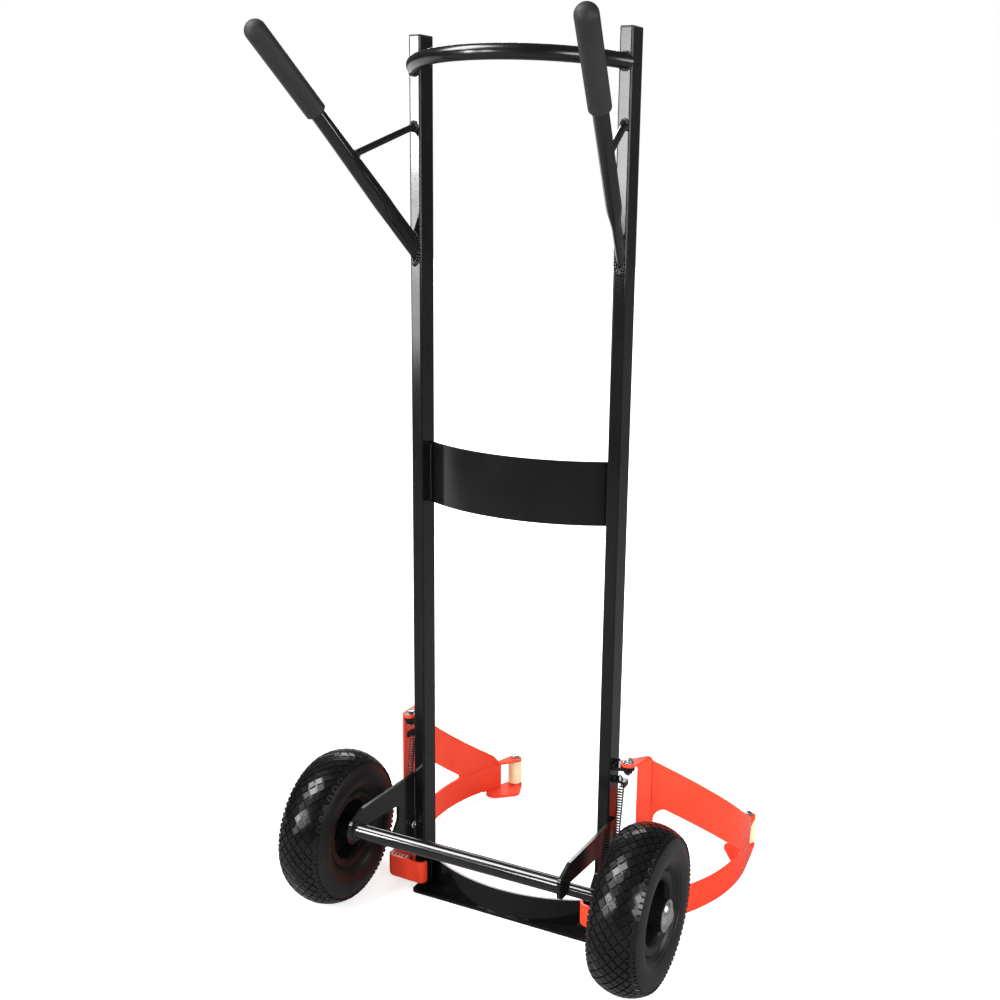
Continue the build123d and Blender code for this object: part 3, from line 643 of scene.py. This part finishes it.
def weldBow(bm, side):
    s = bowWeld
    centre = (side * upright["middle"], upright["rear"] - s["stand"], s["z"])
    for first, last in s["arcs"]:
        ring = ringOf(centre, (s["radius"], 0, 0), (0, 0, s["radius"]), s["size"], first, last)
        layBeads(bm, ring, s["size"])


# handle foot: all round, slid along the tube to the upright's face, and heavier underneath
handleWeld = {
    "stand": 0.3, "sideways": 0.8, "inset": 2.2,
    "rows": ({"size": 2.7, "reach": 0.6, "arc": (0, 360)}, {"size": 3.4, "reach": 1.6, "arc": (110, 250)},
             {"size": 4.2, "reach": 4.0, "arc": (130, 230)}),
}


def weldHandle(bm, side):
    s = handleWeld
    face = upright["rear"] - s["stand"]
    wide, thin = handle["pressed"]
    for row in s["rows"]:
        size = row["size"]
        points = [handleStand @ point for point in ringOf(
            (-handle["drop"], 0, 0), (wide + row["reach"], 0, 0), (0, thin + s["sideways"], 0), size, *row["arc"])]
        for point in points:
            point += handleRun * ((face - point.y) / handleRun.y)
            point.x = min(max(point.x, upright["inner"] + size), upright["outer"] - size - s["inset"])
        layBeads(bm, onSide(side, points), size)


# brace ends: on the upright and on the handle
braceWeld = {"topZ": 1275, "stand": 0.3, "share": 0.432, "top": (5.4, 6.6), "topSize": 2.6, "foot": (6.4, 5.6),
             "footSize": 2.4}


def weldBrace(bm, side):
    s = braceWeld
    top = Vector((handleRoot.x, upright["rear"] - s["stand"], s["topZ"]))
    foot = handleRoot + handleRun * s["share"]
    drop = (foot - top).normalized()
    wide, high = s["top"]
    layBeads(bm, onSide(side, ringOf(top, (wide, 0, 0), (0, 0, high), s["topSize"])), s["topSize"])
    along = handleRun.normalized()
    across = along.cross(drop).normalized()
    touch = foot - drop * (handle["radius"] / drop.cross(along).length)
    long, wide = s["foot"]
    layBeads(bm, onSide(side, ringOf(touch, along * long, across * wide, s["footSize"])), s["footSize"])


# foot tube on the side plates
footWeld = {"x": 179.5, "y": -196, "z": 184, "radius": 12.9, "size": 2.0}


def weldFootTube(bm, side):
    s = footWeld
    ring = ringOf((side * s["x"], s["y"], s["z"]), (0, s["radius"], 0), (0, 0, s["radius"]), s["size"])
    layBeads(bm, ring, s["size"])


# straight welds on the right: start, end and bead size
seams = {
    "sidePlateFront": ((180.4, 3.8, 80), (180.4, 3.8, 202), 2.2),
    "sidePlateRear": ((179.2, -20.4, 80), (179.2, -20.4, 202), 1.9),
    "backPlateEnd": ((159.5, 5.2, 690), (159.5, 5.2, 782), 1.9),
    "lowWallEnd": ((159.5, 1.4, 8), (159.5, 1.4, 48), 1.9),
    "hingeLugUnder": ((180.6, -10, 292.7), (180.6, 18, 292.7), 1.8),
    "hingeLugOver": ((180.6, -10, 299.3), (180.6, 18, 299.3), 1.8),
    "anchorUnder": ((180.6, -7, 270.8), (180.6, 7, 270.8), 1.5),
    "anchorOver": ((180.6, -7, 275.2), (180.6, 7, 275.2), 1.5),
    "springStop": ((161, -20.5, 57.2), (167, -20.5, 57.2), 1.5),
    "uprightFootRear": ((160, -20, 5.3), (170, -20, 5.3), 2.2),
    "uprightFootInnerRear": ((160, -20, 5.3), (160, -6, 5.3), 2.2),
    "uprightFootInnerFront": ((160, 6, 5.3), (160, 20, 5.3), 2.2),
}


def makeFrameWelds(name, side):
    bm = bmesh.new()
    for weldEnds in (weldBow, weldHandle, weldBrace, weldFootTube):
        weldEnds(bm, side)
    for start, end, size in seams.values():
        weldLine(bm, side, start, end, size)
    bmesh.ops.recalc_face_normals(bm, faces=bm.faces)
    return addPiece(name + "FrameWelds", bm, [tubePaint], "frame", smooth=weld["smooth"])


# tacks along the low wall's rear foot
wallTack = {
    "places": (-114, -35, 48, 135), "shifts": (-4.5, -2.25, 0, 2.25, 4.5), "wallRadius": 281, "wallCentre": -45,
    "behind": 3.0, "z": 5.9, "size": 2.5,
}


def makeWallTacks():
    s = wallTack
    bm = bmesh.new()
    for place in s["places"]:
        points = []
        for shift in s["shifts"]:
            x = place + shift
            y = s["wallCentre"] + s["wallRadius"] - math.sqrt(s["wallRadius"] ** 2 - x ** 2)
            points.append(Vector((x, y - s["behind"], s["z"])))
        layBeads(bm, points, s["size"])
    bmesh.ops.recalc_face_normals(bm, faces=bm.faces)
    return addPiece("wallTacks", bm, [tubePaint], "frame", smooth=weld["smooth"])


# arm welds, in the arm's own frame: straight ones round the hinge plate, and curved ones along the arm plate
armWelds = {
    "sweep": (-240, 208, 306), "half": 2,
    "straight": {
        "hingeEnd": ((19.1, 42.4, 226), (19.1, 42.4, 297), 2.4),
        "tailEnd": ((19.1, 42.4, 17), (19.1, 42.4, 56), 2.4),
        "tabFoot": ((14.7, -13, 29.3), (14.7, 13, 29.3), 1.6),
    },
    "curved": {
        "seamInside": {"run": (274, 359), "z": 57, "face": -1, "size": 0.9},
        "seamOutside": {"run": (274, 359), "z": 57, "face": 1, "size": 0.9},
        "tongue": {"run": (324, 354), "z": 7.5, "face": -1, "size": 1.9},
        "ear": {"run": (346, 358), "z": 62.1, "face": -1, "size": 1.5},
    },
}


def armFace(b, outward):
    a, middle, radius = armWelds["sweep"]
    return a + math.sqrt((radius + outward * armWelds["half"]) ** 2 - (b - middle) ** 2)


def makeArmWelds(name):
    s = armWelds
    stand = armMatrix(name)
    bm = bmesh.new()
    for start, end, size in s["straight"].values():
        layBeads(bm, [stand @ point for point in lineOf(start, end, size)], size)
    for seam in s["curved"].values():
        first, last = seam["run"]
        line = lineOf((0, first, seam["z"]), (0, last, seam["z"]), seam["size"])
        for point in line:
            point.x = armFace(point.y, seam["face"])
        layBeads(bm, [stand @ point for point in line], seam["size"])
    bmesh.ops.recalc_face_normals(bm, faces=bm.faces)
    return addPiece(name + "ArmWelds", bm, [redPaint], name + "_arm", smooth=weld["smooth"])


for sideName, side in sides.items():
    makeFrameWelds(sideName, side)
    makeArmWelds(sideName)
makeWallTacks()
print("welds laid")


# finishes of the solids that stay
def paintNodes(names, material):
    for name in names:
        slots = cadNodes[name].data.materials
        slots.clear()
        slots.append(material)


def bothOf(*parts):
    return [name + "_" + part for name in sides for part in parts]


paintNodes(bothOf("upright", "side_plate", "hinge_lug", "hinge_nut", "spring_anchor", "spring_stop"), blackPaint)
paintNodes(["back_plate", "low_wall", "base_plate"], blackPaint)
paintNodes(bothOf("brace") + ["foot_tube", "axle"], tubePaint)
paintNodes(["top_bow"], bowPaint)
paintNodes(bothOf("rim"), rimPaint)
paintNodes(bothOf("arm_plate", "hinge_plate", "tail", "tongue", "roller_lug"), redPaint)
paintNodes(bothOf("hinge_pin", "dust_cap", "roller_washer", "bearings") + ["axle_fittings"], zinc)
paintNodes(bothOf("grip"), gripRubber)
paintNodes(bothOf("upright_cap"), capPlastic)
paintNodes(bothOf("roller"), rollerNylon)
print("frame painted")


# what a ray is: straight from the camera, or mirrored or let through on its way
def rayKinds(tree):
    seen, glossy, through = (addNode(tree, "ShaderNodeLightPath", {}, {}, kind)
                             for kind in ("Is Camera Ray", "Is Glossy Ray", "Is Transmission Ray"))
    return seen, glossy + through


# pale floor: white to the camera, with the trolley's own soft shadow; dim in reflections, apart from a glowing patch
# at the far left that paints a reflected highlight
floorLook = {
    "half": 14.0, "drop": 0.0004, "glow": 0.6, "fade": (0.6, 2.5), "pale": grey(0.82), "dim": grey(0.16),
    "dimGlow": 0.1, "leftX": (-1.5, -2.6), "leftY": (-1.6, -0.9),
}
floorMesh = bmesh.new()
bmesh.ops.create_grid(floorMesh, x_segments=1, y_segments=1, size=floorLook["half"])
bmesh.ops.translate(floorMesh, verts=floorMesh.verts, vec=(0, 0, -floorLook["drop"]))
floorData = bpy.data.meshes.new("floor")
floorMesh.to_mesh(floorData)
floorMesh.free()
floor = bpy.data.objects.new("floor", floorData)
bpy.context.scene.collection.objects.link(floor)
floorPaint, floorTree = newMaterial("floorPaint")
seen, mirrored = rayKinds(floorTree)
spot = objectPlace(floorTree)
away = addNode(floorTree, "ShaderNodeVectorMath", {"operation": "LENGTH"}, {0: spot}, "Value")
whitened = floorLook["glow"] + spread(floorTree, away, *floorLook["fade"])
# the far-left patch glows only in reflections: a painted reflection that brightens the bow's left end and other faces
# that mirror it
leftX, leftY = (spread(floorTree, addNode(floorTree, "ShaderNodeSeparateXYZ", {}, {0: spot}, axis),
                       *floorLook["left" + axis]) for axis in "XY")
glow = addNode(floorTree, "ShaderNodeEmission", {}, {
    "Color": (1, 1, 1, 1), "Strength": seen * whitened + mirrored * (floorLook["dimGlow"] + leftX * leftY)})
shade = mixColour(floorTree, mirrored, floorLook["pale"], floorLook["dim"])
matt = addNode(floorTree, "ShaderNodeBsdfDiffuse", {}, {"Color": shade})
both = addNode(floorTree, "ShaderNodeAddShader", {}, {0: matt, 1: glow})
addNode(floorTree, "ShaderNodeOutputMaterial", {}, {"Surface": both})
floorData.materials.append(floorPaint)


# world: a white backdrop to the camera, dim in reflections and dimmer behind the camera, a soft fill elsewhere
studio = {"fill": 0.42, "dim": 0.03, "backdrop": 0.06, "ahead": (-0.25, 0.5)}
world = bpy.data.worlds.new("studio")
world.use_nodes = True
worldTree = world.node_tree
worldTree.nodes.clear()
bpy.context.scene.world = world
seen, mirrored = rayKinds(worldTree)
way = addNode(worldTree, "ShaderNodeTexCoord", {}, {}, "Generated")
ahead = spread(worldTree, addNode(worldTree, "ShaderNodeSeparateXYZ", {}, {0: way}, "Y"), *studio["ahead"])
strength = seen + mirrored * (studio["dim"] + ahead * studio["backdrop"]) + (1 - seen - mirrored) * studio["fill"]
sky = addNode(worldTree, "ShaderNodeBackground", {}, {"Color": (1, 1, 1, 1), "Strength": strength})
addNode(worldTree, "ShaderNodeOutputWorld", {}, {"Surface": sky})


# soft boxes
lamps = {
    "topBox": {"place": (-1.3, -0.9, 2.9), "aim": (0, -0.1, 0.3), "size": (1.2, 1.4), "power": 100},
    "leftStripHigh": {"place": (-1.54, -2.3, 1.48), "aim": (0, 0, 1.25), "size": (0.22, 0.55), "power": 27},
    "leftStripMiddle": {"place": (-1.54, -2.3, 1.02), "aim": (0, 0, 1.02), "size": (0.22, 0.36), "power": 6},
    "leftStripLow": {"place": (-1.54, -2.3, 0.7), "aim": (0, 0, 0.7), "size": (0.22, 0.28), "power": 3},
    "middlePanel": {"place": (-0.765, -2.35, 1.4), "aim": (0.1, 0, 1.25), "size": (0.3, 0.75), "power": 18},
    "rightBox": {"place": (2.2, -1.5, 1.4), "aim": (0.1, 0, 0.4), "size": (0.9, 1.2), "power": 44},
    "backBox": {"place": (-1.6, 3.0, 2.1), "aim": (0, 0, 0.2), "size": (1.3, 0.5), "power": 20},
    "frontBox": {"place": (2.3, 0.6, 1.3), "aim": (-0.1, 0.1, 0.2), "size": (0.8, 0.9), "power": 20},
}
for lampName, lamp in lamps.items():
    light = bpy.data.lights.new(lampName, "AREA")
    light.shape = "RECTANGLE"
    light.size, light.size_y = lamp["size"]
    light.energy = lamp["power"]
    holder = bpy.data.objects.new(lampName, light)
    bpy.context.scene.collection.objects.link(holder)
    holder.location = lamp["place"]
    holder.rotation_euler = (Vector(lamp["aim"]) - Vector(lamp["place"])).to_track_quat("-Z", "Y").to_euler()
print("lights set")


# camera: the stance of the picture, on a square frame
cameraFit = {
    "place": (0.8986, -1.7973, 1.2157), "yaw": 27.31, "pitch": 14.166, "roll": 0.508, "lens": 47.42, "frame": 36,
}
yaw, pitch, roll = (math.radians(cameraFit[key]) for key in ("yaw", "pitch", "roll"))
camera = bpy.data.objects.new("camera", bpy.data.cameras.new("camera"))
bpy.context.scene.collection.objects.link(camera)
camera.data.sensor_width = cameraFit["frame"]
camera.data.lens = cameraFit["lens"]
look = Matrix.Rotation(yaw, 4, "Z") @ Matrix.Rotation(math.pi / 2 - pitch, 4, "X") @ Matrix.Rotation(roll, 4, "Z")
camera.matrix_world = Matrix.Translation(cameraFit["place"]) @ look
bpy.context.scene.camera = camera
bpy.context.scene.view_settings.view_transform = "Standard"
